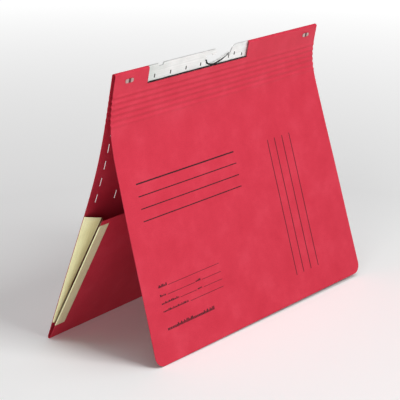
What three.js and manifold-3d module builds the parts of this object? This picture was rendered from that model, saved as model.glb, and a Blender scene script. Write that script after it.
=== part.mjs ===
// Suspension file for A4 sheets: a folded card folder on a steel hanger strip, with an
// expanding pocket inside its rear cover. It stands open like a tent on its two lower edges.
//
// Millimetres. +X runs along the ridge, -Y is the front cover's side, +Z is up.
// Origin: middle of the footprint, on the surface that the file stands on.
import * as THREE from 'three';
import { mergeVertices } from 'three/addons/utils/BufferGeometryUtils.js';
import Module from 'manifold-3d';

const wasm = await Module();
wasm.setup();

// ---------------------------------------------------------------- driving dimensions
const WIDTH = 318;              // file width, along the ridge
const CARD = 0.4;               // card thickness
const LAYER_GAP = 3.0;          // clear space between the two card layers at the ridge
const FRONT_LENGTH = 259.7;     // ridge to the front cover's lower edge, along the card
const REAR_LENGTH = 265.43;     // ridge to the bottom of the pocket fold, along the card
const SPINE_TILT = 11.2;        // degrees the hanger strip leans back from upright
const FRONT_BEND = 25.5;        // degrees between the strip and the front cover
const REAR_BEND = 7.7;          // degrees between the strip and the rear cover
const SCORES = [21, 27.5, 34, 40.5, 47];   // pressed score lines, distance below the ridge
const FOLDS = [SCORES[0], SCORES[2], SCORES[4]];   // the score lines that the card bends at
const SCORE_DEPTH = 0.12;       // depth of the pressed lines between them
const SCORE_GAP = 0.36;         // clear gap between card segments at a fold
const FRONT_CORNER = 10;        // radius of the front cover's lower corners

const WINDOW = { left: -113, right: 38, depth: 15.5 };   // window in the strip's card

const RAIL = { length: 300, thick: 1.0, bottom: -18.4, hem: 2.4, hemHeight: 1.6 };
const NOSE = { tip: -12, bottom: -4.3, ball: 3.0 };
const NOTCH = { left: -99, right: -91, depth: 2.5 };
const CLIP = { x: 139.5, z: -8.2, half: 5.6, high: 3.6, leg: 0.5, sheet: 0.5 };

const POCKET_HEIGHT = 138;      // lower fold to the pocket's upper edge
const POCKET_OPEN = 7.4;        // degrees the pocket panel stands off the rear cover
const GUSSET_FAN = 7;           // degrees of each gusset web's taper
const GUSSET_OPEN = 30;         // degrees each web stands off the panel it hangs on
const GUSSET_START = 16;        // gusset's lower end above the lower fold
const GUSSET_TOP = 130;         // gusset's upper edge above the lower fold
const GUSSET_TRIM = 0.4;        // clearance along the centre crease
const CLOTH = 0.25;             // gusset cloth thickness
const FLANGE = 12;              // glued flange width
const FLANGE_TOP = 133;         // upper end of the flange on the pocket panel

// filing slits in the rear cover: [distance from the left edge, top below ridge, length]
const SLIT = { wide: 1.3, long: 8.6 };
const SLITS = [[10.4, 49.6], [10.4, 65.2], [10.4, 81.4], [10.4, 98], [10.4, 114.6], [37.6, 99.4], [37.6, 117.4]];

const rad = THREE.MathUtils.degToRad;
const HALF = WIDTH / 2;
const LAYER = LAYER_GAP / 2 + CARD / 2;         // mid-plane of a card layer from the strip's middle
const STACK = 2.15;                             // rear card mid-plane to closed pocket panel mid-plane
const FOLD_R = STACK / 2;

// ---------------------------------------------------------------- materials
const mat = (color, roughness, metalness = 0) =>
  new THREE.MeshStandardMaterial({ color, roughness, metalness });
const red = () => mat(0xd23c4c, 0.75);
const cloth = () => mat(0xcfc894, 0.85);
const steel = () => mat(0xd6d6cf, 0.35, 0.9);

// ---------------------------------------------------------------- solids
function polygon(points) {
  const s = new THREE.Shape();
  points.forEach(([a, b], i) => (i ? s.lineTo(a, b) : s.moveTo(a, b)));
  s.closePath();
  return s;
}
const rect = (x0, z0, x1, z1) => polygon([[x0, z0], [x1, z0], [x1, z1], [x0, z1]]);

// a flat outline in (x, z) given a thickness between y0 and y1
function plate(shape, y0, y1, curveSegments = 8) {
  const g = new THREE.ExtrudeGeometry(shape, { depth: y1 - y0, bevelEnabled: false, curveSegments });
  g.rotateX(Math.PI / 2);
  g.translate(0, y1, 0);
  return g;
}
// an outline in (y, z) run along X from x0 to x1
function beam(shape, x0, x1, curveSegments = 8) {
  const g = new THREE.ExtrudeGeometry(shape, { depth: x1 - x0, bevelEnabled: false, curveSegments });
  g.applyMatrix4(new THREE.Matrix4().makeBasis(
    new THREE.Vector3(0, 1, 0), new THREE.Vector3(0, 0, 1), new THREE.Vector3(1, 0, 0)));
  g.translate(x0, 0, 0);
  return g;
}
function box(x0, x1, y0, y1, z0, z1) {
  const g = new THREE.BoxGeometry(x1 - x0, y1 - y0, z1 - z0);
  g.translate((x0 + x1) / 2, (y0 + y1) / 2, (z0 + z1) / 2);
  return g;
}
function solid(geometry) {
  const g = geometry.clone();
  g.deleteAttribute('normal');
  g.deleteAttribute('uv');
  const m = mergeVertices(g, 1e-5);
  return new wasm.Manifold(new wasm.Mesh({
    numProp: 3,
    vertProperties: new Float32Array(m.attributes.position.array),
    triVerts: new Uint32Array(m.index.array),
  }));
}
function geometryOf(manifold) {
  const m = manifold.getMesh();
  const g = new THREE.BufferGeometry();
  g.setAttribute('position', new THREE.BufferAttribute(new Float32Array(m.vertProperties), 3));
  g.setIndex(new THREE.BufferAttribute(new Uint32Array(m.triVerts), 1));
  g.computeVertexNormals();
  return g;
}
const cut = (g, ...tools) => geometryOf(tools.reduce((a, t) => a.subtract(solid(t)), solid(g)));
const join = (g, ...more) => geometryOf(more.reduce((a, t) => a.add(solid(t)), solid(g)));

function add(parent, name, geometry, material) {
  const m = new THREE.Mesh(geometry, material);
  m.name = name;
  parent.add(m);
  return m;
}
function pivot(parent, name, x, y, z, rx = 0, rz = 0) {
  const g = new THREE.Group();
  g.name = name;
  g.position.set(x, y, z);
  g.rotation.set(rad(rx), 0, rad(rz));
  parent.add(g);
  return g;
}

// ---------------------------------------------------------------- hanger strip
const group = new THREE.Group();
const spine = pivot(group, 'spine_pivot', 0, 0, 0, SPINE_TILT);

// two layers of card joined over the ridge by a round fold
function channelProfile(bottom) {
  const ro = LAYER + CARD / 2, ri = LAYER - CARD / 2, n = 10, pts = [];
  pts.push([-ro, bottom]);
  for (let i = 0; i <= n; i++) {
    const a = Math.PI - (Math.PI * i) / n;
    pts.push([ro * Math.cos(a), -ro + ro * Math.sin(a)]);
  }
  pts.push([ro, bottom], [ri, bottom]);
  for (let i = 0; i <= n; i++) {
    const a = (Math.PI * i) / n;
    pts.push([ri * Math.cos(a), -ro + ri * Math.sin(a)]);
  }
  pts.push([-ri, bottom]);
  return polygon(pts.reverse());
}
const STRIP_BOTTOM = -FOLDS[0] + SCORE_GAP / 2;
const clipSlot = (x) => box(x - 1.5, x + 1.5, -4, 4, CLIP.z - CLIP.high / 2 - 0.2, CLIP.z + CLIP.high / 2 + 0.2);
add(spine, 'spine_card_left',
  cut(beam(channelProfile(STRIP_BOTTOM), -HALF, WINDOW.left), clipSlot(-CLIP.x)), red());
add(spine, 'spine_card_right',
  cut(beam(channelProfile(STRIP_BOTTOM), WINDOW.right, HALF), clipSlot(CLIP.x)), red());
add(spine, 'spine_card_front_band',
  box(WINDOW.left + 0.02, WINDOW.right - 0.02, -LAYER - CARD / 2, -LAYER + CARD / 2, STRIP_BOTTOM, -WINDOW.depth), red());
add(spine, 'spine_card_rear_band',
  box(WINDOW.left + 0.02, WINDOW.right - 0.02, LAYER - CARD / 2, LAYER + CARD / 2, STRIP_BOTTOM, -WINDOW.depth), red());

// steel hanger rail: flush with the ridge in the window, a nose that hooks over the
// cabinet's rail, and a curved recess under it with a formed lip along its floor
const railTop = -0.9;
const RECESS_FLOOR = [[-28.2, -9.2], [-27.4, -11.4], [-25.4, -12.6], [-22, -12.9], [-17, -12.5], [-11.5, -11.6],
  [-5, -10.2], [0.5, -8.5], [5, -7.0], [8.2, -5.8]];
function railOutline() {
  const h = RAIL.length / 2, b = RAIL.bottom, p = [];
  p.push([-h, b], [h, b], [h, railTop], [WINDOW.right - 0.4, railTop], [WINDOW.right - 0.4, 0]);
  p.push([18.5, 0], [15.5, -1.0], [13.2, -2.8], [12.0, -5.0], [11.2, -7.2], [10.6, -8.0], [9.9, -12.6], [9.0, -12.6]);
  for (let i = RECESS_FLOOR.length - 1; i >= 0; i--) p.push(RECESS_FLOOR[i]);
  p.push([-28.0, -6.6], [-27.0, -5.0], [-25.2, NOSE.bottom], [-18.5, NOSE.bottom + 0.1]);
  // rounded ball end of the nose
  const cx = NOSE.tip - NOSE.ball, cz = -NOSE.ball + 0.1;
  for (let i = 0; i <= 10; i++) {
    const a = rad(-135 + (270 - 45) * (i / 10));
    p.push([cx + NOSE.ball * Math.cos(a), cz + NOSE.ball * Math.sin(a)]);
  }
  p.push([cx - 6, 0], [NOTCH.right, 0], [NOTCH.right - 0.8, -NOTCH.depth], [NOTCH.left + 0.8, -NOTCH.depth],
    [NOTCH.left, 0], [WINDOW.left + 0.4, 0], [WINDOW.left + 0.4, railTop], [-h, railTop]);
  return polygon(p);
}
const lipShape = polygon([...RECESS_FLOOR, ...RECESS_FLOOR.map(([x, z]) => [x + 0.15, z - 0.8]).reverse()].reverse());
const railSlot = (x) => box(x - 1.8, x + 1.8, -4, 4, CLIP.z - CLIP.high / 2 - 0.5, CLIP.z + CLIP.high / 2 + 0.5);
const railBody = cut(plate(railOutline(), -RAIL.thick / 2, RAIL.thick / 2), railSlot(-CLIP.x), railSlot(CLIP.x));
add(spine, 'hanger_rail', join(railBody,
  box(-RAIL.length / 2, RAIL.length / 2, -RAIL.hem / 2, RAIL.hem / 2, RAIL.bottom, RAIL.bottom + RAIL.hemHeight),
  plate(lipShape, -1.3, -0.2)), steel());

// clinch clips: a base plate behind the strip, two prongs through both card layers and
// the rail, bent apart on the front face
function clip(x0) {
  const face = LAYER + CARD / 2 + 0.08, t = CLIP.sheet, hh = CLIP.high / 2;
  const lobe = (s) => {
    const sh = new THREE.Shape();
    const xi = 0.35, xo = CLIP.half, r = hh;
    sh.moveTo(xi, -hh); sh.lineTo(xo - r, -hh);
    sh.absarc(xo - r, 0, r, -Math.PI / 2, Math.PI / 2, false);
    sh.lineTo(xi, hh); sh.closePath();
    const g = plate(sh, -face - t, -face, 6);
    if (s < 0) g.rotateY(Math.PI);
    return g;
  };
  const g = join(
    box(-CLIP.half, CLIP.half, face, face + t, -hh, hh),
    box(0.35, 0.35 + CLIP.leg, -face - t, face + t, -hh + 0.01, hh - 0.01),
    box(-0.35 - CLIP.leg, -0.35, -face - t, face + t, -hh + 0.01, hh - 0.01),
    lobe(1), lobe(-1));
  g.translate(x0, 0, CLIP.z);
  return g;
}
add(spine, 'clinch_clip_left', clip(-CLIP.x), steel());
add(spine, 'clinch_clip_right', clip(CLIP.x), steel());

// ---------------------------------------------------------------- covers
// Both covers hang on the strip through a band with five score lines. At the front the
// middle one carries the bend between the tent and the closed file, and the outer two fold
// the cover right back. At the rear the three share every bend.
function scoreStrip(i, outside) {
  const length = FOLDS[i + 1] - FOLDS[i], mid = -(SCORES[2 * i + 1] - FOLDS[i]);
  const c = CARD / 2, w = 0.35, top = -SCORE_GAP / 2, bottom = -length + SCORE_GAP / 2;
  const pts = [[c, bottom], [c, top], [-c, top], [-c, mid + w], [-c + SCORE_DEPTH, mid], [-c, mid - w], [-c, bottom]];
  const p = outside < 0 ? pts : pts.map(([y, z]) => [-y, z]).reverse();
  return beam(polygon(p), -HALF, HALF);
}

let at = pivot(spine, 'front_crease_1', 0, -LAYER, -FOLDS[0], 0);
add(at, 'front_score_strip_1', scoreStrip(0, -1), red());
at = pivot(at, 'front_crease_2', 0, 0, FOLDS[0] - FOLDS[1], -FRONT_BEND);
add(at, 'front_score_strip_2', scoreStrip(1, -1), red());
at = pivot(at, 'front_crease_3', 0, 0, FOLDS[1] - FOLDS[2], 0);
const frontLength = FRONT_LENGTH - FOLDS[2];
const fo = new THREE.Shape();
fo.moveTo(-HALF, -SCORE_GAP / 2);
fo.lineTo(-HALF, -frontLength + FRONT_CORNER);
fo.absarc(-HALF + FRONT_CORNER, -frontLength + FRONT_CORNER, FRONT_CORNER, Math.PI, 1.5 * Math.PI, false);
fo.lineTo(HALF - FRONT_CORNER, -frontLength);
fo.absarc(HALF - FRONT_CORNER, -frontLength + FRONT_CORNER, FRONT_CORNER, 1.5 * Math.PI, 2 * Math.PI, false);
fo.lineTo(HALF, -SCORE_GAP / 2);
fo.closePath();
add(at, 'front_cover', plate(fo, -CARD / 2, CARD / 2, 8), red());

at = pivot(spine, 'rear_crease_1', 0, LAYER, -FOLDS[0], REAR_BEND / 3);
add(at, 'rear_score_strip_1', scoreStrip(0, 1), red());
at = pivot(at, 'rear_crease_2', 0, 0, FOLDS[0] - FOLDS[1], REAR_BEND / 3);
add(at, 'rear_score_strip_2', scoreStrip(1, 1), red());
at = pivot(at, 'rear_crease_3', 0, 0, FOLDS[1] - FOLDS[2], REAR_BEND / 3);
const rearCover = at;
const rearLength = REAR_LENGTH - FOLDS[2] - FOLD_R - CARD / 2;
const slitHoles = SLITS.map(([x, s]) => box(-HALF + x - SLIT.wide / 2, -HALF + x + SLIT.wide / 2, -2, 2,
  -(s - FOLDS[2]) - SLIT.long, -(s - FOLDS[2])));
add(rearCover, 'rear_cover', cut(box(-HALF, HALF, -CARD / 2, CARD / 2, -rearLength + 0.15, -SCORE_GAP / 2), ...slitHoles), red());

// ---------------------------------------------------------------- pocket
// lower fold of the card, from the rear cover round to the pocket panel
const foldPts = [];
for (let i = 0; i <= 12; i++) {
  const a = rad(-5 - (145 * i) / 12);
  foldPts.push([(FOLD_R + CARD / 2) * Math.cos(a), (FOLD_R + CARD / 2) * Math.sin(a)]);
}
for (let i = 12; i >= 0; i--) {
  const a = rad(-5 - (145 * i) / 12);
  foldPts.push([(FOLD_R - CARD / 2) * Math.cos(a), (FOLD_R - CARD / 2) * Math.sin(a)]);
}
const foldGeo = beam(polygon(foldPts.reverse()), -HALF, HALF);
foldGeo.translate(0, -FOLD_R, -rearLength);
add(rearCover, 'pocket_bottom_fold', foldGeo, red());

// the panel's pivot is the middle of that fold; in it the closed panel lies at y = -FOLD_R
const pocket = pivot(rearCover, 'pocket_fold', 0, -FOLD_R, -rearLength, POCKET_OPEN);
add(pocket, 'pocket_panel', box(-HALF, HALF, -FOLD_R - CARD / 2, -FOLD_R + CARD / 2, 0.3, POCKET_HEIGHT), red());

// gussets: one folded cloth strip a side, in four segments: a flange glued inside the rear
// cover, a rear web, a front web, and a flange glued on the face of the pocket panel
const fan = Math.tan(rad(GUSSET_FAN));
const webShape = (s) => {
  const o = 0.3, z0 = GUSSET_START, z1 = GUSSET_TOP;
  const pts = [[o, z0], [z0 * fan - GUSSET_TRIM, z0], [z1 * fan - GUSSET_TRIM, z1], [o, z1]];
  return polygon(s < 0 ? pts : pts.map(([x, z]) => [-x, z]).reverse());
};
for (const [side, s] of [['left', -1], ['right', 1]]) {
  const edge = s * (HALF - 0.2);
  const fx = (w) => [Math.min(edge, edge - s * w), Math.max(edge, edge - s * w)];
  const [a0, a1] = fx(FLANGE);
  add(rearCover, `gusset_rear_flange_${side}`,
    box(a0, a1, -0.55, -0.3, -rearLength + GUSSET_START, -rearLength + GUSSET_TOP), cloth());
  const rearWeb = pivot(rearCover, `gusset_rear_web_${side}`, edge, -0.7, -rearLength, 0, s * GUSSET_OPEN);
  add(rearWeb, `gusset_rear_web_${side}`, plate(webShape(s), -0.275 - CLOTH / 2, -0.275 + CLOTH / 2), cloth());
  const f = FLANGE - 1;
  add(pocket, `gusset_front_flange_${side}`,
    box(...fx(f), -FOLD_R - CARD / 2 - 0.1 - CLOTH, -FOLD_R - CARD / 2 - 0.1, GUSSET_START, FLANGE_TOP), cloth());
  const frontWeb = pivot(pocket, `gusset_front_web_${side}`, edge, -FOLD_R + 0.35, 0, 0, -s * GUSSET_OPEN);
  add(frontWeb, `gusset_front_web_${side}`, plate(webShape(s), 0.275 - CLOTH / 2, 0.275 + CLOTH / 2), cloth());
}

// ---------------------------------------------------------------- stand it on its lower edges
group.updateMatrixWorld(true);
const bounds = new THREE.Box3().setFromObject(group, true);
group.position.set(0, -(bounds.min.y + bounds.max.y) / 2, -bounds.min.z);
group.updateMatrixWorld(true);

export default group;
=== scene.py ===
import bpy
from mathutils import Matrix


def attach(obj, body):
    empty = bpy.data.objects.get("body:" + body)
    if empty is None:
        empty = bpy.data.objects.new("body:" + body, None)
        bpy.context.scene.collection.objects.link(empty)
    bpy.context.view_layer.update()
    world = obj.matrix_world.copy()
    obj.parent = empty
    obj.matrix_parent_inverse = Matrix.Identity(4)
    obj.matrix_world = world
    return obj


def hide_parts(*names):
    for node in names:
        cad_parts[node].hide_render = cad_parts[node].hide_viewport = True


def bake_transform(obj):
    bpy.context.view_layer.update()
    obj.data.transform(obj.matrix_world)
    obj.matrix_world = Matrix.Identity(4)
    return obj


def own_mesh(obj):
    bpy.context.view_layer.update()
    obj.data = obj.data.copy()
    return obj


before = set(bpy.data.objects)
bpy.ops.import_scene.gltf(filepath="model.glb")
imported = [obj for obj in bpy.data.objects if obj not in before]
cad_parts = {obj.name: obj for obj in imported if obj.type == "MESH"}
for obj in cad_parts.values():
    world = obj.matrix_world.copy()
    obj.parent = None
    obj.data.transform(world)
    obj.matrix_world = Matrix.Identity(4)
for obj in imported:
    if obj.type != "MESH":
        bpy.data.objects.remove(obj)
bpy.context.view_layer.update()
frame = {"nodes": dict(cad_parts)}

import math

import bpy
import numpy as np
from mathutils import Matrix, Vector

MM = 0.001

# ---------------------------------------------------------------- dimensions (mm)
HALF = 159.0
CARD = 0.4
LAYER = 1.7                 # mid-plane of a card layer from the strip's middle
TILT = 11.2                 # degrees that the hanger strip leans
RIDGE = (-16.044, 252.439)  # y, z of the ridge
SCORE_FIRST, SCORE_PITCH, SCORES = 20.85, 5.1, 5   # first raised shoulder, pitch, number of grooves
SCORE_DEPTH = {-1: 0.30, 1: 0.13}
WIN_L, WIN_R, WIN_D = -113.0, 38.0, 15.5
CORNER = 10.0
# bend of each cover along the card: (start, length, end angle) at the left and right ends
FRONT_BEND = ((11.67, 73.66, -13.74), (7.28, 55.99, -16.89))
REAR_BEND = ((26.77, 101.86, 20.555), (27.22, 102.49, 20.61))
FRONT_LEN = 258.8
SLITS = [[10.4, 49.6], [10.4, 65.2], [10.4, 81.4], [10.4, 98.0], [10.4, 114.6], [37.6, 99.4], [37.6, 117.4]]
SLIT_W, SLIT_L = 1.3, 8.6
FOLD_R = 1.075
POCKET_H = 138.0
POCKET_OPEN = 7.4
GUSSET_TOP = 130.0
GUSSET_START, FLANGE, FLANGE_TOP, REAR_FLANGE_TOP = 16.0, 12.0, 133.0, 121.0
WEB_ANGLE, WEB_FAN = 29.0, 7.2
BOW = 0.15
CLOTH = 0.3


def profile(bend, side, n=1200, length=300.0):
    """(s, y, z, angle) along one card layer from the ridge; side -1 front, +1 rear. The layer runs LAYER off the strip's middle."""
    a, b, end = bend
    s = np.linspace(0, length, n)
    t = np.clip((s - a) / b, 0, 1)
    ang = np.radians(TILT + (end - TILT) * (t * t * (3 - 2 * t)))
    ds = s[1] - s[0]
    mid = (ang[1:] + ang[:-1]) / 2
    y = np.concatenate([[0], np.cumsum(np.sin(mid) * ds)])
    z = np.concatenate([[0], np.cumsum(-np.cos(mid) * ds)])
    y = RIDGE[0] + y + side * LAYER * np.cos(ang)
    z = RIDGE[1] + z + side * LAYER * np.sin(ang)
    return s, y, z, ang


PROFILES = {
    -1: [profile(b, -1) for b in FRONT_BEND],
    1: [profile(b, 1) for b in REAR_BEND],
}


def card_point(side, x, s):
    """Mid-surface point and outward normal of a cover at card coordinates x (from the middle) and s (below the ridge), in mm."""
    x, s = np.asarray(x, float), np.asarray(s, float)
    u = (x + HALF) / (2 * HALF)
    (sl, yl, zl, al), (sr, yr, zr, ar) = PROFILES[side]
    y = (1 - u) * np.interp(s, sl, yl) + u * np.interp(s, sr, yr)
    z = (1 - u) * np.interp(s, sl, zl) + u * np.interp(s, sr, zr)
    a = (1 - u) * np.interp(s, sl, al) + u * np.interp(s, sr, ar)
    p = np.stack([x + 0 * s, y, z], -1)
    n = np.stack([0 * a, side * np.cos(a), side * np.sin(a)], -1)
    return p, n


def level(side, u, target):
    """Card length at which the cover's middle surface reaches that height, at the left (u 0) or right (u 1) end."""
    s, y, z, a = PROFILES[side][u]
    return float(np.interp(-target, -z, s))


REAR_LEN = level(1, 0, 1.45)


bpy.context.scene.view_settings.view_transform = "Standard"

# ---------------------------------------------------------------- camera
AZ, EL = math.radians(-54.191), math.radians(16.308)
DIST, TX, TZ, FOCAL_PX = 1337.946, -22.192, -13.245, 1427.331
back = Vector((math.sin(AZ) * math.cos(EL), -math.cos(AZ) * math.cos(EL), math.sin(EL)))
right = (-back).cross(Vector((0, 0, 1))).normalized()
up = right.cross(-back)
eye = Vector((0, RIDGE[0], RIDGE[1] - 132.0)) + back * DIST + right * TX + up * TZ
cam_data = bpy.data.cameras.new("camera")
cam = bpy.data.objects.new("camera", cam_data)
bpy.context.scene.collection.objects.link(cam)
rot = Matrix((right, up, back)).transposed()
cam.matrix_world = Matrix.Translation(eye * MM) @ rot.to_4x4()
cam_data.sensor_width = 36.0
cam_data.lens = FOCAL_PX / 400.0 * 36.0
cam_data.clip_start, cam_data.clip_end = 0.05, 50
bpy.context.scene.camera = cam


# ---------------------------------------------------------------- materials
def tree(name):
    m = bpy.data.materials.new(name)
    m.use_nodes = True
    nt = m.node_tree
    bsdf = nt.nodes["Principled BSDF"]
    return m, nt, bsdf


def node(nt, kind, **inputs):
    n = nt.nodes.new(kind)
    for k, v in inputs.items():
        if hasattr(n, k) and not k[0].isupper():
            setattr(n, k, v)
        else:
            n.inputs[k.replace("_", " ")].default_value = v
    return n


def ramp(nt, fac, stops):
    r = nt.nodes.new("ShaderNodeValToRGB")
    e = r.color_ramp.elements
    while len(e) < len(stops):
        e.new(0.5)
    for el, (pos, col) in zip(e, stops):
        el.position = pos
        el.color = (*col, 1)
    nt.links.new(fac, r.inputs["Fac"])
    return r.outputs["Color"]


def mix(nt, fac, a, b, mode="MIX"):
    m = nt.nodes.new("ShaderNodeMix")
    m.data_type = "RGBA"
    m.blend_type = mode
    for sock, v in (("Factor", fac), ("A", a), ("B", b)):
        s = [i for i in m.inputs if i.name == sock and i.type == ("VALUE" if sock == "Factor" else "RGBA")][0]
        if isinstance(v, (int, float)):
            s.default_value = v
        elif isinstance(v, tuple):
            s.default_value = (*v, 1)
        else:
            nt.links.new(v, s)
    return [o for o in m.outputs if o.type == "RGBA"][0]


def math_node(nt, op, a, b=None, c=None, clamp=False):
    m = nt.nodes.new("ShaderNodeMath")
    m.operation = op
    m.use_clamp = clamp
    for i, v in enumerate((a, b, c)):
        if v is None:
            continue
        if isinstance(v, (int, float)):
            m.inputs[i].default_value = v
        else:
            nt.links.new(v, m.inputs[i])
    return m.outputs[0]


def lin(r, g, b):
    f = lambda c: ((c / 255 + 0.055) / 1.055) ** 2.4 if c / 255 > 0.04045 else c / 255 / 12.92
    return (f(r), f(g), f(b))


def card_material(name, base, dark, light, edge, painted_shade_span=None):
    """Pressboard: a smooth pressed face with fine fibres and cloudy colour, with painted shade along the cut edge,
    painted shade and highlight on the score walls, and painted shade over the span given.
    """
    m, nt, bsdf = tree(name)
    L = nt.links
    uv = node(nt, "ShaderNodeUVMap", uv_map="card")
    cloud = node(nt, "ShaderNodeTexNoise", Scale=34.0, Detail=5.0, Roughness=0.62)
    L.new(uv.outputs[0], cloud.inputs["Vector"])
    fine = node(nt, "ShaderNodeTexNoise", Scale=900.0, Detail=4.0, Roughness=0.7)
    L.new(uv.outputs[0], fine.inputs["Vector"])
    # long thin fibres, two directions
    fibres = None
    for i, (ang, sx, sy, thr) in enumerate(((0.5, 260.0, 2100.0, 0.70), (-1.0, 240.0, 1900.0, 0.71), (1.5, 300.0, 2300.0, 0.715))):
        mp = node(nt, "ShaderNodeMapping")
        mp.inputs["Rotation"].default_value = (0, 0, ang)
        mp.inputs["Scale"].default_value = (sx, sy, 1)
        L.new(uv.outputs[0], mp.inputs["Vector"])
        f = node(nt, "ShaderNodeTexNoise", Scale=1.0, Detail=1.0, Distortion=0.6)
        L.new(mp.outputs[0], f.inputs["Vector"])
        v = math_node(nt, "MULTIPLY_ADD", f.outputs["Fac"], 9.0, -9.0 * thr, clamp=True)
        fibres = v if fibres is None else math_node(nt, "ADD", fibres, v, clamp=True)
    c1 = ramp(nt, cloud.outputs["Fac"], [(0.3, dark), (0.52, base), (0.75, light)])
    grain = ramp(nt, fine.outputs["Fac"], [(0.32, (0.86, 0.84, 0.84)), (0.5, (1, 1, 1)), (0.7, (1.05, 1.07, 1.07))])
    c2 = mix(nt, 0.8, c1, grain, "MULTIPLY")
    fib = math_node(nt, "MULTIPLY", fibres, 0.22)
    c3 = mix(nt, fib, c2, light)
    # painted shade on the score walls that look down and a painted highlight on those that look up, read from the score
    # attribute
    sc = node(nt, "ShaderNodeAttribute", attribute_name="score")
    tone = ramp(nt, math_node(nt, "MULTIPLY_ADD", sc.outputs["Fac"], -0.5, 0.5, clamp=True), [(0.0, (0.925, 0.86, 0.88)), (0.5, (1, 1, 1)), (1.0, (1.05, 1.17, 1.14))])
    c3 = mix(nt, 1.0, c3, tone, "MULTIPLY")
    if painted_shade_span:
        # painted shade: the rear cover is darker over its middle, where its inside lies in the front cover's shade;
        # full strength between the two lengths, none at the ends
        v = node(nt, "ShaderNodeSeparateXYZ")
        L.new(uv.outputs[0], v.inputs[0])
        s0, s1 = painted_shade_span
        near = math_node(nt, "MULTIPLY_ADD", v.outputs[1], -18.0, -18.0 * (s0 + 3.4) * MM, clamp=True)
        far = math_node(nt, "MULTIPLY_ADD", v.outputs[1], 30.0, 30.0 * (s1 + 3.4) * MM, clamp=True)
        c3 = mix(nt, math_node(nt, "MULTIPLY", near, far), c3, mix(nt, 1.0, c3, (0.80, 0.83, 0.82), "MULTIPLY"))
    # painted shade along the edge, where a rounded cut edge turns away from the light: attribute "rim" is 1 on the cut
    # edge and fades within a millimetre of the face; noise breaks it up
    rim = node(nt, "ShaderNodeAttribute", attribute_name="rim")
    edge_shade_breakup = node(nt, "ShaderNodeTexNoise", Scale=420.0, Detail=3.0)
    L.new(uv.outputs[0], edge_shade_breakup.inputs["Vector"])
    edge_shade = math_node(nt, "MULTIPLY", rim.outputs["Fac"], math_node(nt, "MULTIPLY_ADD", edge_shade_breakup.outputs["Fac"], 1.6, -0.25, clamp=True), clamp=True)
    c4 = mix(nt, math_node(nt, "MULTIPLY", edge_shade, 0.75), c3, edge)
    L.new(c4, bsdf.inputs["Base Color"])
    rough = math_node(nt, "MULTIPLY_ADD", fine.outputs["Fac"], 0.16, 0.50)
    rough = math_node(nt, "MULTIPLY_ADD", edge_shade, 0.2, rough, clamp=True)
    L.new(rough, bsdf.inputs["Roughness"])
    bsdf.inputs["Specular IOR Level"].default_value = 0.22
    height = math_node(nt, "MULTIPLY_ADD", fibres, 0.35, fine.outputs["Fac"])
    height = math_node(nt, "MULTIPLY_ADD", cloud.outputs["Fac"], 1.2, height)
    bump = node(nt, "ShaderNodeBump", Strength=0.32, Distance=0.00006)
    L.new(height, bump.inputs["Height"])
    L.new(bump.outputs[0], bsdf.inputs["Normal"])
    return m


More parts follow.
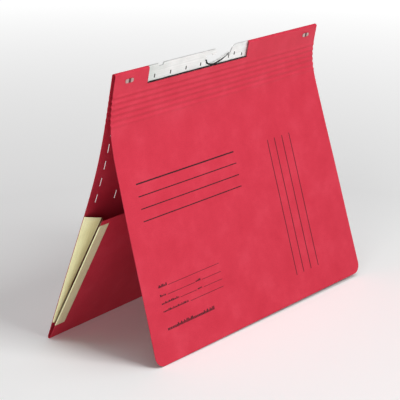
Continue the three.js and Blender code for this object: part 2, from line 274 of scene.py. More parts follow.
def cloth_material(name):
    """Plain-woven linen tape: warp and weft threads in card coordinates, with slubs and a pale weft."""
    m, nt, bsdf = tree(name)
    L = nt.links
    uv = node(nt, "ShaderNodeUVMap", uv_map="card")
    sep = node(nt, "ShaderNodeSeparateXYZ")
    wob = node(nt, "ShaderNodeTexNoise", Scale=160.0, Detail=2.0)
    L.new(uv.outputs[0], wob.inputs["Vector"])
    L.new(uv.outputs[0], sep.inputs[0])
    pitch = 0.00055
    w = math.pi * 2 / pitch
    wobble = math_node(nt, "MULTIPLY_ADD", wob.outputs["Fac"], 2.2, -1.1)
    px = math_node(nt, "ADD", math_node(nt, "MULTIPLY", sep.outputs[0], w), wobble)
    py = math_node(nt, "ADD", math_node(nt, "MULTIPLY", sep.outputs[1], w), wobble)
    sx = math_node(nt, "SINE", px)
    sy = math_node(nt, "SINE", py)
    over = math_node(nt, "MULTIPLY_ADD", math_node(nt, "MULTIPLY", sx, sy), 0.5, 0.5)
    threads = math_node(nt, "MULTIPLY_ADD", math_node(nt, "MAXIMUM", sx, sy), 0.5, 0.5)
    slub = node(nt, "ShaderNodeTexNoise", Scale=1.0, Detail=2.0)
    mp = node(nt, "ShaderNodeMapping")
    mp.inputs["Scale"].default_value = (900, 60, 1)
    L.new(uv.outputs[0], mp.inputs["Vector"])
    L.new(mp.outputs[0], slub.inputs["Vector"])
    cloud = node(nt, "ShaderNodeTexNoise", Scale=38.0, Detail=4.0)
    L.new(uv.outputs[0], cloud.inputs["Vector"])
    c1 = ramp(nt, cloud.outputs["Fac"], [(0.3, lin(236, 230, 180)), (0.55, lin(244, 240, 194)), (0.8, lin(249, 246, 206))])
    c2 = mix(nt, 0.55, c1, ramp(nt, threads, [(0.1, (0.66, 0.64, 0.58)), (0.6, (1, 1, 1)), (1.0, (1.06, 1.06, 1.04))]), "MULTIPLY")
    c3 = mix(nt, 0.35, c2, ramp(nt, slub.outputs["Fac"], [(0.35, (0.86, 0.85, 0.8)), (0.55, (1, 1, 1)), (0.75, (1.08, 1.08, 1.06))]), "MULTIPLY")
    rim = node(nt, "ShaderNodeAttribute", attribute_name="rim")
    c4 = mix(nt, math_node(nt, "MULTIPLY", rim.outputs["Fac"], 0.35), c3, lin(232, 228, 196))
    # painted shade: the cloth darkens towards its centre crease
    sc = node(nt, "ShaderNodeAttribute", attribute_name="score")
    c4 = mix(nt, sc.outputs["Fac"], c4, mix(nt, 1.0, c4, (0.60, 0.50, 0.42), "MULTIPLY"))
    L.new(c4, bsdf.inputs["Base Color"])
    L.new(math_node(nt, "MULTIPLY_ADD", over, 0.12, 0.74), bsdf.inputs["Roughness"])
    bsdf.inputs["Specular IOR Level"].default_value = 0.22
    bsdf.inputs["Sheen Weight"].default_value = 0.18
    bsdf.inputs["Sheen Roughness"].default_value = 0.5
    height = math_node(nt, "MULTIPLY_ADD", over, 0.6, math_node(nt, "MULTIPLY_ADD", slub.outputs["Fac"], 0.8, threads))
    bump = node(nt, "ShaderNodeBump", Strength=0.55, Distance=0.00012)
    L.new(height, bump.inputs["Height"])
    L.new(bump.outputs[0], bsdf.inputs["Normal"])
    return m


def steel_material(name, tone, clip=False):
    """Bright zinc-plated strip steel: lengthwise rolling lines, faint blotches and handling marks."""
    m, nt, bsdf = tree(name)
    L = nt.links
    tc = node(nt, "ShaderNodeTexCoord")
    mp = node(nt, "ShaderNodeMapping")
    mp.inputs["Scale"].default_value = (14, 2600, 2600)
    L.new(tc.outputs["Object"], mp.inputs["Vector"])
    brush = node(nt, "ShaderNodeTexNoise", Scale=1.0, Detail=5.0, Roughness=0.65)
    L.new(mp.outputs[0], brush.inputs["Vector"])
    spot = node(nt, "ShaderNodeTexNoise", Scale=90.0, Detail=4.0)
    L.new(tc.outputs["Object"], spot.inputs["Vector"])
    dark = tuple(c * 0.80 for c in tone)
    c = ramp(nt, brush.outputs["Fac"], [(0.3, dark), (0.55, tone), (0.8, tuple(min(1, c * 1.06) for c in tone))])
    c = mix(nt, 0.35, c, ramp(nt, spot.outputs["Fac"], [(0.35, (0.82, 0.83, 0.82)), (0.6, (1, 1, 1))]), "MULTIPLY")
    gen = node(nt, "ShaderNodeSeparateXYZ")
    L.new(tc.outputs["Generated"], gen.inputs[0])
    if clip:
        # much darker in the dip between the two clinched lobes
        c = mix(nt, 1.0, c, ramp(nt, gen.outputs[0], [(0.0, (0.95, 0.80, 0.78)), (0.30, (1, 0.9, 0.88)), (0.46, (0.20, 0.13, 0.13)), (0.60, (0.24, 0.16, 0.15)), (0.74, (1, 0.88, 0.84)), (1.0, (0.85, 0.72, 0.66))]), "MULTIPLY")
    else:
        # darker and greener towards the left end
        c = mix(nt, 1.0, c, ramp(nt, gen.outputs[0], [(0.0, (0.62, 0.68, 0.65)), (0.10, (0.74, 0.80, 0.77)), (0.24, (0.97, 0.98, 0.97)), (1.0, (1, 1, 1))]), "MULTIPLY")
    L.new(c, bsdf.inputs["Base Color"])
    bsdf.inputs["Metallic"].default_value = 1.0 if clip else 0.72
    r = math_node(nt, "MULTIPLY_ADD", brush.outputs["Fac"], 0.18, 0.27)
    r = math_node(nt, "MULTIPLY_ADD", spot.outputs["Fac"], 0.14, r)
    L.new(r, bsdf.inputs["Roughness"])
    bump = node(nt, "ShaderNodeBump", Strength=0.18, Distance=0.00002)
    L.new(brush.outputs["Fac"], bump.inputs["Height"])
    L.new(bump.outputs[0], bsdf.inputs["Normal"])
    return m


def ink_material(name, col):
    """Printing ink laid on card: nearly matt, with the card's grain breaking it up; the same shader also makes
    near-black strips of painted shadow.
    """
    m, nt, bsdf = tree(name)
    L = nt.links
    uv = node(nt, "ShaderNodeUVMap", uv_map="card")
    n = node(nt, "ShaderNodeTexNoise", Scale=1100.0, Detail=3.0)
    L.new(uv.outputs[0], n.inputs["Vector"])
    c = ramp(nt, n.outputs["Fac"], [(0.35, tuple(v * 0.7 for v in col)), (0.6, col), (0.8, tuple(min(1, v * 1.7 + 0.01) for v in col))])
    L.new(c, bsdf.inputs["Base Color"])
    L.new(math_node(nt, "MULTIPLY_ADD", n.outputs["Fac"], 0.2, 0.5), bsdf.inputs["Roughness"])
    bsdf.inputs["Specular IOR Level"].default_value = 0.3
    bump = node(nt, "ShaderNodeBump", Strength=0.2, Distance=0.00003)
    L.new(n.outputs["Fac"], bump.inputs["Height"])
    L.new(bump.outputs[0], bsdf.inputs["Normal"])
    return m


# card colours: base, cloud dark, cloud light, then the painted shade along the cut edge; the rear copy also takes
# painted shade over its middle
RED = card_material("red_card", lin(204, 49, 70), lin(198, 43, 64), lin(211, 60, 80), lin(142, 28, 42))
RED_REAR_SHADED = card_material("red_card_rear_shaded", lin(204, 49, 70), lin(198, 43, 64), lin(211, 60, 80), lin(142, 28, 42), (52.0, REAR_LEN))
CLOTH_MAT = cloth_material("gusset_cloth")
STEEL = steel_material("hanger_steel", (0.97, 0.97, 0.96))
CLIP_STEEL = steel_material("clip_steel", (0.66, 0.53, 0.52), clip=True)
INK = ink_material("print_ink", (0.030, 0.006, 0.010))
INK_LIGHT = ink_material("print_ink_light", (0.036, 0.007, 0.011))
# ink for the stamped rail marks, also used for the painted shadow along the tab's edge
MARK_AND_SHADOW_INK = ink_material("rail_mark", (0.016, 0.015, 0.015))
# near-black painted shadow for the recess floor and the line under the rail
SHADOW_INK = ink_material("recess_shadow_strip", (0.008, 0.008, 0.009))
RAIL_MARKS = [(-102.4, -10.6, 3.8), (-79.5, -10.8, 3.6), (-56.7, -10.9, 3.5), (-34.7, -11.2, 3.5), (17.9, -8.9, 3.2), (30.6, -11.6, 3.0)]


# ---------------------------------------------------------------- mesh building
def score_slope(s):
    """Which way the scored card faces: +1 on the walls that look down, -1 on those that look up, 0 off the score band."""
    last = SCORE_FIRST + SCORE_PITCH * SCORES
    d = np.sin((s - SCORE_FIRST) / SCORE_PITCH * 2 * math.pi)
    d = np.where((s < SCORE_FIRST) | (s > last), 0.5 * d, d)
    return np.where((s < SCORE_FIRST - SCORE_PITCH / 2) | (s > last + SCORE_PITCH / 2), 0, d)


def new_object(name, verts, faces, uvs, rims, material, smooth_deg=35):
    me = bpy.data.meshes.new(name)
    me.from_pydata([tuple(v) for v in verts], [], [tuple(f) for f in faces])
    me.update()
    layer = me.uv_layers.new(name="card")
    vi = np.zeros(len(me.loops), np.int64)
    me.loops.foreach_get("vertex_index", vi)
    layer.data.foreach_set("uv", np.asarray(uvs, np.float32)[vi].ravel())
    a = me.attributes.new("rim", "FLOAT", "POINT")
    a.data.foreach_set("value", np.asarray(rims, np.float32))
    y = np.asarray(uvs, float)[:, 1] / MM
    # the score attribute holds which way each score wall faces; the card material paints shade and highlight from it,
    # and the gussets overwrite it with painted crease shade
    a = me.attributes.new("score", "FLOAT", "POINT")
    a.data.foreach_set("value", score_slope(np.where(y > 0, y, -y - 3.4)).astype(np.float32))
    me.polygons.foreach_set("use_smooth", [True] * len(me.polygons))
    me.set_sharp_from_angle(angle=math.radians(smooth_deg))
    me.materials.append(material)
    o = bpy.data.objects.new(name, me)
    bpy.context.scene.collection.objects.link(o)
    return o


def shell(name, P, N, uv, material, thick=CARD, keep=None, rim_cells=None, smooth_deg=35):
    """A closed thin body round the grid P (n, m, 3, mm): two faces thick apart along N and walls at every border, round the holes too."""
    n, m = P.shape[:2]
    if keep is None:
        keep = np.ones((n - 1, m - 1), bool)
    used = np.zeros((n, m), bool)
    used[:-1, :-1] |= keep; used[1:, :-1] |= keep; used[:-1, 1:] |= keep; used[1:, 1:] |= keep
    # border vertices, for the rim attribute (painted edge shade on the card)
    count = np.zeros((n, m), int)
    count[:-1, :-1] += keep; count[1:, :-1] += keep; count[:-1, 1:] += keep; count[1:, 1:] += keep
    border = used & (count < 4)
    if rim_cells is not None:
        border &= rim_cells
    idx = -np.ones((n, m), int)
    idx[used] = np.arange(used.sum())
    k = int(used.sum())
    top = (P + N * thick / 2)[used]
    bot = (P - N * thick / 2)[used]
    verts = np.concatenate([top, bot]) * MM
    uvs = np.concatenate([uv[used], uv[used]]) * MM
    rim = border[used].astype(float)
    faces = []
    flip = np.dot(np.cross(P[1, 0] - P[0, 0], P[0, 1] - P[0, 0]), N[0, 0]) < 0
    walls = {}
    for i in range(n - 1):
        for j in range(m - 1):
            if not keep[i, j]:
                continue
            q = [idx[i, j], idx[i + 1, j], idx[i + 1, j + 1], idx[i, j + 1]]
            if flip:
                q = q[::-1]
            faces.append(q)
            faces.append([v + k for v in q[::-1]])
            for a, b in zip(q, q[1:] + q[:1]):
                if (b, a) in walls:
                    del walls[(b, a)]
                else:
                    walls[(a, b)] = True
    for a, b in walls:
        faces.append([b, a, a + k, b + k])
    return new_object(name, verts, faces, uvs, np.concatenate([rim, rim]), material, smooth_deg)


def grid_normals(P, like=None):
    du = np.gradient(P, axis=0)
    dv = np.gradient(P, axis=1)
    N = np.cross(du, dv)
    N /= np.maximum(np.linalg.norm(N, axis=-1, keepdims=True), 1e-12)
    if like is not None and (N * like).sum(-1).mean() < 0:
        N = -N
    return N


def inset(lo, hi, d=(0.35, 0.9)):
    """A pair of rows just inside each border, so that the rim stays narrow."""
    return [lo + v for v in d] + [hi - v for v in d]


def spread(values, step, lo, hi):
    """Sorted coordinates from lo to hi with the given ones among them and no gap wider than step."""
    v = sorted(set([round(x, 4) for x in values if lo <= x <= hi] + [lo, hi]))
    out = [v[0]]
    for a, b in zip(v, v[1:]):
        k = max(1, int(math.ceil((b - a) / step - 1e-9)))
        out += [a + (b - a) * i / k for i in range(1, k + 1)]
    return np.array(out)


def score_rows():
    a, b = SCORE_FIRST - SCORE_PITCH / 2, SCORE_FIRST + SCORE_PITCH * (SCORES + 0.5)
    return list(np.linspace(a, b, int((b - a) / 0.42) + 1))


def score_dent(s, side):
    """Pressed score lines: soft grooves between raised shoulders, running out level above and below."""
    last = SCORE_FIRST + SCORE_PITCH * SCORES
    t = (s - SCORE_FIRST) / SCORE_PITCH * 2 * math.pi
    d = np.cos(t)
    outside = (s < SCORE_FIRST) | (s > last)
    d = np.where(outside, 0.5 + 0.5 * d, d)
    d = np.where((s < SCORE_FIRST - SCORE_PITCH / 2) | (s > last + SCORE_PITCH / 2), 0, d)
    return SCORE_DEPTH[side] * d


def ripple(x, s):
    """The card is never quite flat: slow waves of a few tenths of a millimetre, none at the score band."""
    w = np.clip((s - 55) / 60, 0, 1)
    return w * (0.22 * np.sin(x / 47.0 + 0.6 + s / 83.0) + 0.16 * np.sin(x / 29.0 - s / 41.0) + 0.10 * np.sin(s / 23.0 + x / 91.0))


def card_grid(side, xs, ss, corner=0.0, length=None):
    X, S = np.meshgrid(xs, ss)
    if corner:
        t = np.clip((S - (length - corner)) / corner, 0, 1)
        limit = HALF - corner + corner * np.sqrt(np.clip(1 - t * t, 0, 1))
        x0 = HALF - corner - 2
        ax = np.abs(X)
        X = np.where(ax > x0, np.sign(X) * (x0 + (ax - x0) * (limit - x0) / (HALF - x0)), X)
    P, N = card_point(side, X, S)
    P = P + N * (score_dent(S, side) + ripple(X, S))[..., None]
    return X, S, P, N


# ---------------------------------------------------------------- hanger strip card
def strip_piece():
    tilt = math.radians(TILT)
    xs = spread([WIN_L - 0.5, WIN_L, WIN_R, WIN_R + 0.5] + inset(-HALF, HALF), 7, -HALF, HALF)
    ss = spread([15.5, 15.9], 2.0, 1.9, 17.0)
    rows, norms, vv, s_abs = [], [], [], []
    for s in ss[::-1]:
        p, nn = card_point(-1, xs, np.full_like(xs, s))
        rows.append(p); norms.append(nn); vv.append(s); s_abs.append(s)
    for i in range(1, 14):
        a = math.pi * (1 - i / 14)
        ly, lz = LAYER * math.cos(a), -1.9 + LAYER * math.sin(a)
        y = ly * math.cos(tilt) - lz * math.sin(tilt)
        z = ly * math.sin(tilt) + lz * math.cos(tilt)
        ny, nz = math.cos(a), math.sin(a)
        p = np.stack([xs, np.full_like(xs, RIDGE[0] + y), np.full_like(xs, RIDGE[1] + z)], -1)
        nn = np.stack([0 * xs, np.full_like(xs, ny * math.cos(tilt) - nz * math.sin(tilt)), np.full_like(xs, ny * math.sin(tilt) + nz * math.cos(tilt))], -1)
        rows.append(p); norms.append(nn); vv.append(1.9 - LAYER * math.pi * i / 14 if i <= 7 else -(LAYER * math.pi * (i - 7) / 14)); s_abs.append(0)
    for s in ss:
        p, nn = card_point(1, xs, np.full_like(xs, s))
        rows.append(p); norms.append(nn); vv.append(-s - 3.4); s_abs.append(s)
    P, N = np.array(rows), np.array(norms)
    uv = np.stack([np.broadcast_to(xs, P.shape[:2]), np.broadcast_to(np.array(vv)[:, None], P.shape[:2])], -1)
    s_abs = np.array(s_abs)
    sm = (s_abs[1:] + s_abs[:-1]) / 2
    xm = (xs[1:] + xs[:-1]) / 2
    hole = (sm[:, None] < WIN_D) & (xm[None, :] > WIN_L) & (xm[None, :] < WIN_R)
    rim_ok = np.ones(P.shape[:2], bool)
    rim_ok[0, :] = rim_ok[-1, :] = False
    return shell("strip_card", P, N, uv, RED, keep=~hole, rim_cells=rim_ok)


strip = strip_piece()
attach(strip, "spine")
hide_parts("spine_card_left", "spine_card_right", "spine_card_front_band", "spine_card_rear_band")


# ---------------------------------------------------------------- covers
def band(name, side, s0, s1, nodes=(), s_extra=()):
    """A continuous strip of card between s0 and s1, fixed in place; the CAD nodes given are hidden."""
    xs = spread(inset(-HALF, HALF), 8, -HALF, HALF)
    ss = spread(score_rows() + list(s_extra), 1.0, s0, s1)
    X, S, P, N = card_grid(side, xs, ss)
    rim_ok = np.ones(P.shape[:2], bool)
    rim_ok[0, 1:-1] = rim_ok[-1, 1:-1] = False
    o = shell(name, P, N, np.stack([X, S if side < 0 else -S - 3.4], -1), RED, rim_cells=rim_ok)
    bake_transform(o)
    if nodes:
        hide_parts(*nodes)
    return o


SEAM = [17.0, 27.5, 40.5, 49.2]
band("front_band_upper", -1, SEAM[0], SEAM[1], ["front_score_strip_1"])
band("front_band_middle", -1, SEAM[1], SEAM[2])
band("front_band_lower", -1, SEAM[2], SEAM[3], ["front_score_strip_2"])
band("rear_band_upper", 1, SEAM[0], SEAM[1], ["rear_score_strip_1"])
band("rear_band_middle", 1, SEAM[1], SEAM[2])
band("rear_band_lower", 1, SEAM[2], SEAM[3], ["rear_score_strip_2"])


def front_cover_piece():
    xs = spread([-157.5, 157.5, -155, 155, -152, 152, -149.5, 149.5, -147, 147] + inset(-HALF, HALF), 5, -HALF, HALF)
    L = FRONT_LEN
    ss = spread([L - CORNER + CORNER * math.sin(math.radians(t)) for t in (0, 10, 20, 30, 40, 50, 58, 66, 73, 79, 85)] + [L - 0.35, L - 0.9] + score_rows(), 4, SEAM[3], L)
    X, S, P, N = card_grid(-1, xs, ss, CORNER, L)
    N = grid_normals(P, N)
    rim_ok = np.ones(P.shape[:2], bool)
    rim_ok[0, 1:-1] = False
    return shell("front_cover_card", P, N, np.stack([X, S], -1), RED, rim_cells=rim_ok)


cover = front_cover_piece()
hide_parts("front_cover")

SLIT_BOXES = [(-HALF + x - SLIT_W / 2, -HALF + x + SLIT_W / 2, s, s + SLIT_L) for x, s in SLITS]


def rear_cover_piece():
    edges_x = [e for b in SLIT_BOXES for e in b[:2]]
    edges_s = [e for b in SLIT_BOXES for e in b[2:]]
    xs = spread(edges_x + [e + d for e in edges_x for d in (-0.5, 0.5)] + inset(-HALF, HALF), 6, -HALF, HALF)
    ss = spread(edges_s + [e + d for e in edges_s for d in (-0.5, 0.5)] + score_rows(), 4, SEAM[3], REAR_LEN)
    X, S, P, N = card_grid(1, xs, ss)
    N = grid_normals(P, N)
    xm, sm = (xs[1:] + xs[:-1]) / 2, (ss[1:] + ss[:-1]) / 2
    hole = np.zeros((len(ss) - 1, len(xs) - 1), bool)
    for x0, x1, s0, s1 in SLIT_BOXES:
        hole |= (xm[None, :] > x0) & (xm[None, :] < x1) & (sm[:, None] > s0) & (sm[:, None] < s1)
    rim_ok = np.ones(P.shape[:2], bool)
    rim_ok[0, 1:-1] = rim_ok[-1, 1:-1] = False
    return shell("rear_cover_card", P, N, np.stack([X, -S - 3.4], -1), RED_REAR_SHADED, keep=~hole, rim_cells=rim_ok)


rear = rear_cover_piece()
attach(rear, "rear_cover")
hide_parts("rear_cover")

# ---------------------------------------------------------------- pocket
RHO = math.radians(np.mean([REAR_BEND[0][2], REAR_BEND[1][2]]))
OPEN = math.radians(POCKET_OPEN)
E_R = np.array([0, -math.sin(RHO), math.cos(RHO)])
N_R = np.array([0, math.cos(RHO), math.sin(RHO)])
E_P = np.array([0, -math.sin(RHO + OPEN), math.cos(RHO + OPEN)])
N_P = np.array([0, math.cos(RHO + OPEN), math.sin(RHO + OPEN)])


def fold_centre(x):
    p, _ = card_point(1, x, np.full_like(np.asarray(x, float), REAR_LEN))
    return p - FOLD_R * N_R


def rear_at(x, h):
    """Point on the rear cover's middle surface at height h above the fold."""
    p, n = card_point(1, x, REAR_LEN - np.asarray(h, float))
    return p + n * ripple(np.asarray(x, float), REAR_LEN - np.asarray(h, float))[..., None]


def panel_bulge(x, h):
    t = np.asarray(h, float) / POCKET_H
    return 0.9 * np.sin(np.pi * np.clip(t, 0, 1)) * (1 - (np.asarray(x, float) / HALF) ** 2) + 0.25 * np.sin(np.asarray(x, float) / 37.0 + t * 2.2) * t


def panel_at(x, h):
    c = fold_centre(x)
    h = np.asarray(h, float)
    return c - (FOLD_R + panel_bulge(x, h))[..., None] * N_P + h[..., None] * E_P


def pocket_piece():
    xs = spread(inset(-HALF, HALF), 6, -HALF, HALF)
    rows = []
    for i in range(0, 11):
        a = (math.pi - OPEN) * i / 10
        d = math.cos(a) * N_R - math.sin(a) * E_R
        rows.append((fold_centre(xs) + FOLD_R * d, np.broadcast_to(d, (len(xs), 3)), -REAR_LEN - 3.4 - FOLD_R * a))
    base = REAR_LEN + 3.4 + FOLD_R * (math.pi - OPEN)
    for h in spread([1, 2.5, POCKET_H - 0.9, POCKET_H - 0.35], 5, 0, POCKET_H)[1:]:
        rows.append((panel_at(xs, np.full_like(xs, h)), np.broadcast_to(-N_P, (len(xs), 3)), -base - h))
    P = np.array([r[0] for r in rows])
    N0 = np.array([r[1] for r in rows])
    N = grid_normals(P, N0)
    # at the fold's start the normal is the rear cover's
    N[0] = N0[0]
    uv = np.stack([np.broadcast_to(xs, P.shape[:2]), np.broadcast_to(np.array([r[2] for r in rows])[:, None], P.shape[:2])], -1)
    rim_ok = np.ones(P.shape[:2], bool)
    rim_ok[0, 1:-1] = False
    o = shell("pocket_card", P, N, uv, RED, rim_cells=rim_ok)
    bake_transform(o)
    return o


pocket = pocket_piece()
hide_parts("pocket_panel", "pocket_bottom_fold")


def set_crease(o, grid):
    o.data.attributes["score"].data.foreach_set("value", np.concatenate([grid.ravel()] * 2).astype(np.float32))


def gusset(side, s):
    edge = s * (HALF - 0.2)
    inward = -s
    A = math.radians(WEB_ANGLE)
    fan = math.tan(math.radians(WEB_FAN))
    hs = spread([], 4, GUSSET_START, GUSSET_TOP)
    web_u = np.linspace(0, 1, 9)
    arc = 5

    def build(name, h_list, flange, hinge_of, n_out, to_web, bodies, nodes, flange_top):
        # cross-section: flange from its inner end to the hinge, a tight turn, then the web to the centre crease
        rows, uvs = [], []
        for h in h_list:
            w = max(h * fan - 0.35, 1.2)
            hp = hinge_of(h)            # point on the card face at the edge
            x_in = np.array([inward, 0, 0], float)
            pts, us = [], []
            nf = 6
            for i in range(nf):
                # the glued flange stops lower than the web, with a slanting top
                t = flange * (1 - i / (nf - 1))
                k = min(1.0, t / 2.0)
                hf = h * (1 - k) + k * (GUSSET_START + (h - GUSSET_START) * (flange_top - GUSSET_START) / (GUSSET_TOP - GUSSET_START))
                pts.append(hinge_of(hf)(t) + n_out * (CLOTH / 2 + 0.05)); us.append(-t)
            base = hp(0.0) + n_out * (CLOTH / 2 + 0.05)
            for u in web_u[1:]:
                # web leaves the hinge with a soft start, then runs straight to the crease
                bow = BOW * math.sin(math.pi * u) * min(1, w / 8)
                d = w * u
                pts.append(base + to_web * (0.25 + d * math.sin(A) + bow * math.cos(A)) + x_in * (d * math.cos(A) - bow * math.sin(A)))
                us.append(d)
            rows.append(pts)
            uvs.append([(u, h) for u in us])
        P = np.array(rows)
        N = grid_normals(P)
        o = shell(name, P, N, np.array(uvs), CLOTH_MAT, thick=CLOTH, smooth_deg=60)
        # painted crease shade: rising towards the centre crease, and stronger further down the gusset
        across = np.concatenate([np.zeros(6), web_u[1:]])
        down = 0.45 + 0.55 * np.clip((GUSSET_TOP - np.asarray(h_list)) / 60, 0, 1)
        set_crease(o, np.clip((across - 0.35) / 0.6, 0, 1)[None, :] * down[:, None])
        return o, P

    # rear half: flange on the inside of the rear cover, web hanging off its edge
    def rear_hinge(h):
        return lambda t: rear_at(edge + inward * t, h) - N_R * CARD / 2
    o, P = build(f"gusset_rear_{side}", hs, FLANGE, rear_hinge, -N_R, -N_R, None, None, REAR_FLANGE_TOP)
    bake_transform(o)
    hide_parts(f"gusset_rear_flange_{side}", f"gusset_rear_web_{side}")

    # front half: flange on the face of the pocket panel, round its edge, web behind it
    rows, uvs = [], []
    for h in hs:
        w = max(h * fan - 0.35, 1.2)
        hf = GUSSET_START + (h - GUSSET_START) * (FLANGE_TOP - GUSSET_START) / (GUSSET_TOP - GUSSET_START)
        pts, us = [], []
        face = lambda t: panel_at(edge + inward * t, hf) - N_P * (CARD / 2 + CLOTH / 2 + 0.05)
        for i in range(6):
            t = 0.15 + (FLANGE - 1) * (1 - i / 5)
            pts.append(face(t)); us.append(-t)
        for i in range(1, arc):
            a = math.pi * i / arc
            r = CARD / 2 + CLOTH / 2 + 0.08
            c = panel_at(edge, hf + (h - hf) * i / arc)
            pts.append(c - N_P * r * math.cos(a) + np.array([s * 0.95 * math.sin(a), 0, 0])); us.append(0.2 * i)
        base = panel_at(edge, h) + N_P * (CARD / 2 + CLOTH / 2 + 0.08)
        x_in = np.array([inward, 0, 0], float)
        for u in web_u:
            bow = BOW * math.sin(math.pi * u) * min(1, w / 8)
            d = 0.1 + w * u
            pts.append(base + N_P * (0.05 + d * math.sin(A) + bow * math.cos(A)) + x_in * (d * math.cos(A) - bow * math.sin(A)))
            us.append(1 + d)
        rows.append(pts)
        uvs.append([(u, h) for u in us])
    P = np.array(rows)
    o = shell(f"gusset_front_{side}", P, grid_normals(P), np.array(uvs), CLOTH_MAT, thick=CLOTH, smooth_deg=60)
    # painted crease shade on the front half: a little on the flange, none round the edge, rising along the web
    set_crease(o, np.broadcast_to(np.concatenate([np.full(6, 0.28), np.zeros(arc - 1), 0.2 + 0.8 * web_u])[None, :], P.shape[:2]))
    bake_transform(o)
    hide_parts(f"gusset_front_flange_{side}", f"gusset_front_web_{side}")


for side, s in (("left", -1), ("right", 1)):
    gusset(side, s)


# ---------------------------------------------------------------- printing on the front cover
def print_strips(name, strips, material, body="front_cover"):
    """Closed thin strips of ink lying on the front cover's face: (x0, s0, x1, s1) boxes in card coordinates."""
    verts, faces, uvs = [], [], []
    for x0, s0, x1, s1 in strips:
        nx = max(1, int(abs(x1 - x0) / 5))
        ns = max(1, int(abs(s1 - s0) / 4))
        xs, ss = np.linspace(x0, x1, nx + 1), np.linspace(s0, s1, ns + 1)
        X, S = np.meshgrid(xs, ss)
        P, N = card_point(-1, X, S)
        P = P + N * ripple(X, S)[..., None]
        k0 = len(verts)
        n, m = P.shape[:2]
        lo, hi = P + N * (CARD / 2 - 0.02), P + N * (CARD / 2 + 0.035)
        verts += list((hi.reshape(-1, 3)) * MM) + list((lo.reshape(-1, 3)) * MM)
        uvs += list(np.stack([X, S], -1).reshape(-1, 2) * MM) * 2
        k = n * m
        walls = {}
        for i in range(n - 1):
            for j in range(m - 1):
                q = [k0 + i * m + j, k0 + i * m + j + 1, k0 + (i + 1) * m + j + 1, k0 + (i + 1) * m + j]
                a, b, c = (np.array(verts[v]) for v in q[:3])
                if np.dot(np.cross(b - a, c - a), N[0, 0]) < 0:
                    q = q[::-1]
                faces.append(q)
                faces.append([v + k for v in q[::-1]])
                for a, b in zip(q, q[1:] + q[:1]):
                    if (b, a) in walls:
                        del walls[(b, a)]
                    else:
                        walls[(a, b)] = True
        for a, b in walls:
            faces.append([b, a, a + k, b + k])
    return new_object(name, verts, faces, uvs, np.zeros(len(verts)), material)


def hline(s, x0, x1, w=0.5):
    return (x0, s - w / 2, x1, s + w / 2)


def vline(x, s0, s1, w=0.42):
    return (x - w / 2, s0, x + w / 2, s1)


heavy = [hline(100.4, -138.3, 2.0, 1.25)]
lines = [hline(s, -138.3, 2.6, 0.88) for s in (111.4, 122.4, 133.3)]
lines += [vline(x, 100.3, 234.6, 0.95) for x in (57.1, 68.7, 81.2, 93.5)]
form = [hline(192.9, -124.5, -53, 0.4), hline(200.7, -127.5, -90, 0.4), hline(200.8, -79.7, -52.7, 0.4),
        hline(207.7, -112.2, -89.7, 0.4), hline(207.8, -79.2, -52.5, 0.4), hline(214.6, -100.3, -52.8, 0.4)]


def bars(x0, x1, s, h, seed, gap=0.45):
    """A short row of small plain bars where a form has its caption: no letters."""
    out, x, k = [], x0, seed
    while x < x1 - 0.5:
        k = (k * 37 + 11) % 101
        w = 0.7 + (k % 5) * 0.22
        hh = h * (0.62 + 0.38 * ((k // 5) % 3 == 0))
        out.append((x, s - hh, min(x + w, x1), s))
        x += w + gap
    return out


captions = bars(-137.5, -126.2, 192.9, 2.6, 5, 0.32)
headline = bars(-136.3, -70.8, 231.0, 3.3, 71, 0.4)
small = bars(-137.5, -129.5, 200.7, 1.9, 17) + bars(-88.7, -81.4, 200.8, 1.9, 29)
small += bars(-137.5, -114.0, 207.7, 1.9, 41) + bars(-87.9, -81.8, 207.8, 1.9, 53) + bars(-137.5, -102.5, 214.6, 1.9, 67)

pieces = [
    print_strips("print_heavy_rule", heavy + captions + headline, INK),
    print_strips("print_rules", lines, INK_LIGHT),
    print_strips("print_form_rules", form + small, INK),
]

# the printing and the cover are attached to the front cover's body together; the axis worked out here is not used
corner_l, corner_r = card_point(-1, -HALF, SEAM[3])[0], card_point(-1, HALF, SEAM[3])[0]
along = corner_r - corner_l
down = np.array([0.0, math.sin(math.radians(-14.3 + 2.0)), -math.cos(math.radians(-14.3 + 2.0))])
axis = np.cross(along, down)
axis /= np.linalg.norm(axis)
for o in [cover] + pieces:
    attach(o, "front_cover")
    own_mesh(o)

# ---------------------------------------------------------------- steel
nodes = frame["nodes"]


def finish_steel(o, material, width):
    o.data.materials.clear()
    o.data.materials.append(material)
    b = o.modifiers.new("edge", "BEVEL")
    b.width = width
    b.segments = 2
    b.limit_method = "ANGLE"
    b.angle_limit = math.radians(50)
    b.harden_normals = False


finish_steel(nodes["hanger_rail"], STEEL, 0.00012)
finish_steel(nodes["clinch_clip_left"], CLIP_STEEL, 0.00012)
finish_steel(nodes["clinch_clip_right"], CLIP_STEEL, 0.00012)


# a near-black strip along the recess floor as painted shadow under the recess's pressed edge, and the plain marks
# stamped along the rail
def strip_local(x, y, z):
    """A point given in the hanger strip's own frame, in the row frame (mm)."""
    t = math.radians(TILT)
    return np.array([x, RIDGE[0] + y * math.cos(t) - z * math.sin(t), RIDGE[1] + y * math.sin(t) + z * math.cos(t)])


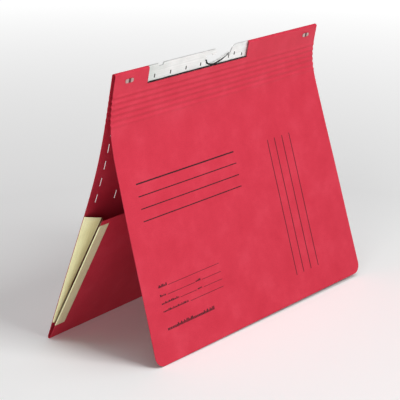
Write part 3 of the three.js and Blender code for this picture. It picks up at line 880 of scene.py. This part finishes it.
def local_prism(name, outline, y0, y1, material, bevel=0.0):
    """A closed prism: an (x, z) outline in the strip's own frame, between two depths y0 and y1."""
    n = len(outline)
    verts = [strip_local(x, y0, z) * MM for x, z in outline] + [strip_local(x, y1, z) * MM for x, z in outline]
    area = sum(outline[i][0] * outline[(i + 1) % n][1] - outline[(i + 1) % n][0] * outline[i][1] for i in range(n))
    order = list(range(n)) if area > 0 else list(range(n))[::-1]
    faces = [order, [v + n for v in order[::-1]]]
    for a, b in zip(order, order[1:] + order[:1]):
        faces.append([b, a, a + n, b + n])
    uvs = [(x * MM, z * MM) for x, z in outline] * 2
    return new_object(name, verts, faces, uvs, np.zeros(2 * n), material)


RECESS = [(-27.2, -8.0), (-25.6, -10.5), (-22.2, -12.4), (-16.5, -13.1), (-10.3, -12.8), (-4.3, -11.5), (1.4, -9.4), (7.4, -6.2)]


def smooth_line(pts, k=4):
    """Catmull-Rom points through pts."""
    p = [np.array(pts[0])] + [np.array(q) for q in pts] + [np.array(pts[-1])]
    out = []
    for i in range(1, len(p) - 2):
        for j in range(k):
            t = j / k
            a, b, c, d = p[i - 1], p[i], p[i + 1], p[i + 2]
            out.append(0.5 * (2 * b + (c - a) * t + (2 * a - 5 * b + 4 * c - d) * t * t + (3 * b - a - 3 * c + d) * t ** 3))
    out.append(np.array(pts[-1], float))
    return out


def recess_shadow_strip():
    line = smooth_line(RECESS)
    upper, lower = [], []
    for i, q in enumerate(line):
        d = line[min(i + 1, len(line) - 1)] - line[max(i - 1, 0)]
        d = d / np.linalg.norm(d)
        nrm = np.array([-d[1], d[0]])
        f = i / (len(line) - 1)
        half = 1.05 * min(1, 0.35 + 5 * f) * (1 - 0.62 * f)
        upper.append(tuple(q + nrm * 0.12))
        lower.append(tuple(q - nrm * (0.12 + half * 1.35)))
    return local_prism("recess_shadow_strip", upper + lower[::-1], -1.42, -0.4, SHADOW_INK)


def taper_strip(name, a, b, w0, w1, y0, y1, material, wave=0.0):
    """A thin closed strip between two (x, z) points on the rail's face, its width easing from w0 to w1."""
    a, b = np.array(a, float), np.array(b, float)
    d = (b - a) / np.linalg.norm(b - a)
    nrm = np.array([-d[1], d[0]])
    up_, lo_ = [], []
    n = max(3, int(np.linalg.norm(b - a) / 4))
    for i in range(n + 1):
        f = i / n
        w = (w0 + (w1 - w0) * f) * (0.35 if i in (0, n) else 1) * (1 + wave * math.sin(7.3 * i))
        q = a + (b - a) * f
        up_.append(tuple(q + nrm * w / 2))
        lo_.append(tuple(q - nrm * w / 2))
    return local_prism(name, up_ + lo_[::-1], y0, y1, material)


# painted shadow: a dark strip along the edge of the turned-down tab beside the recess, and a dark line as painted
# shadow in the gap where the rail enters the card
for piece in (taper_strip("recess_tab_shadow", (7.3, -6.6), (9.6, -12.6), 0.75, 0.5, -0.62, -0.48, MARK_AND_SHADOW_INK),
              taper_strip("rail_shadow_line", (WIN_L + 1.0, -15.0), (WIN_R - 0.4, -15.0), 1.0, 0.75, -1.1, -0.45, SHADOW_INK, 0.18)):
    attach(piece, "spine")

recess_shadow = recess_shadow_strip()
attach(recess_shadow, "spine")


def rail_mark(name, x, z, w, h):
    """A small stamped tick with rounded ends, a hair proud of the rail's face."""
    pts = []
    for i in range(9):
        a = math.pi * i / 8
        pts.append((x + w / 2 * math.cos(a), z + h / 2 - w / 2 + w / 2 * math.sin(a)))
    for i in range(9):
        a = math.pi + math.pi * i / 8
        pts.append((x + w / 2 * math.cos(a), z - h / 2 + w / 2 + w / 2 * math.sin(a)))
    o = local_prism(name, pts, -0.53, -0.48, MARK_AND_SHADOW_INK)
    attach(o, "spine")
    return o


for i, (x, z, h) in enumerate(RAIL_MARKS):
    rail_mark(f"rail_mark_{i + 1}", x, z, 1.55, h)

# ---------------------------------------------------------------- floor and light
def floor():
    me = bpy.data.meshes.new("floor")
    r = 6.0
    me.from_pydata([(-r, -r, -0.0002), (r, -r, -0.0002), (r, r, -0.0002), (-r, r, -0.0002)], [], [(0, 1, 2, 3)])
    o = bpy.data.objects.new("floor", me)
    bpy.context.scene.collection.objects.link(o)
    m, nt, bsdf = tree("floor")
    n = node(nt, "ShaderNodeTexNoise", Scale=3.0, Detail=2.0)
    c = ramp(nt, n.outputs["Fac"], [(0.3, (0.935, 0.935, 0.935)), (0.7, (0.95, 0.95, 0.95))])
    nt.links.new(c, bsdf.inputs["Base Color"])
    nt.links.new(c, bsdf.inputs["Emission Color"])
    # the far floor glows a little, as a lit backdrop does; the floor under the file doesn't
    tc = node(nt, "ShaderNodeTexCoord")
    dist = nt.nodes.new("ShaderNodeVectorMath")
    dist.operation = "LENGTH"
    nt.links.new(tc.outputs["Object"], dist.inputs[0])
    glow = math_node(nt, "MULTIPLY_ADD", dist.outputs["Value"], 0.5, -0.22, clamp=True)
    nt.links.new(math_node(nt, "MULTIPLY", glow, 0.92), bsdf.inputs["Emission Strength"])
    bsdf.inputs["Roughness"].default_value = 0.9
    bsdf.inputs["Specular IOR Level"].default_value = 0.1
    me.materials.append(m)
    return o


floor()


def area_light(name, loc, target, size, energy, colour=(1, 1, 1)):
    d = bpy.data.lights.new(name, "AREA")
    d.shape = "SQUARE"
    d.size = size
    d.energy = energy
    d.color = colour
    o = bpy.data.objects.new(name, d)
    bpy.context.scene.collection.objects.link(o)
    o.location = loc
    o.rotation_mode = "QUATERNION"
    o.rotation_quaternion = (Vector(target) - Vector(loc)).to_track_quat("-Z", "Y")
    return o


area_light("key", (0.2, -2.1, 2.0), (0, 0, 0.12), 1.3, 44)
area_light("side", (-2.1, -0.75, 0.5), (0, 0, 0.08), 0.8, 19)
area_light("top", (0.1, -0.2, 2.6), (0, 0, 0.1), 1.6, 26)

world = bpy.data.worlds.new("world")
bpy.context.scene.world = world
world.use_nodes = True
bg = world.node_tree.nodes["Background"]
bg.inputs["Color"].default_value = (1.0, 1.0, 1.0, 1)
bg.inputs["Strength"].default_value = 0.10
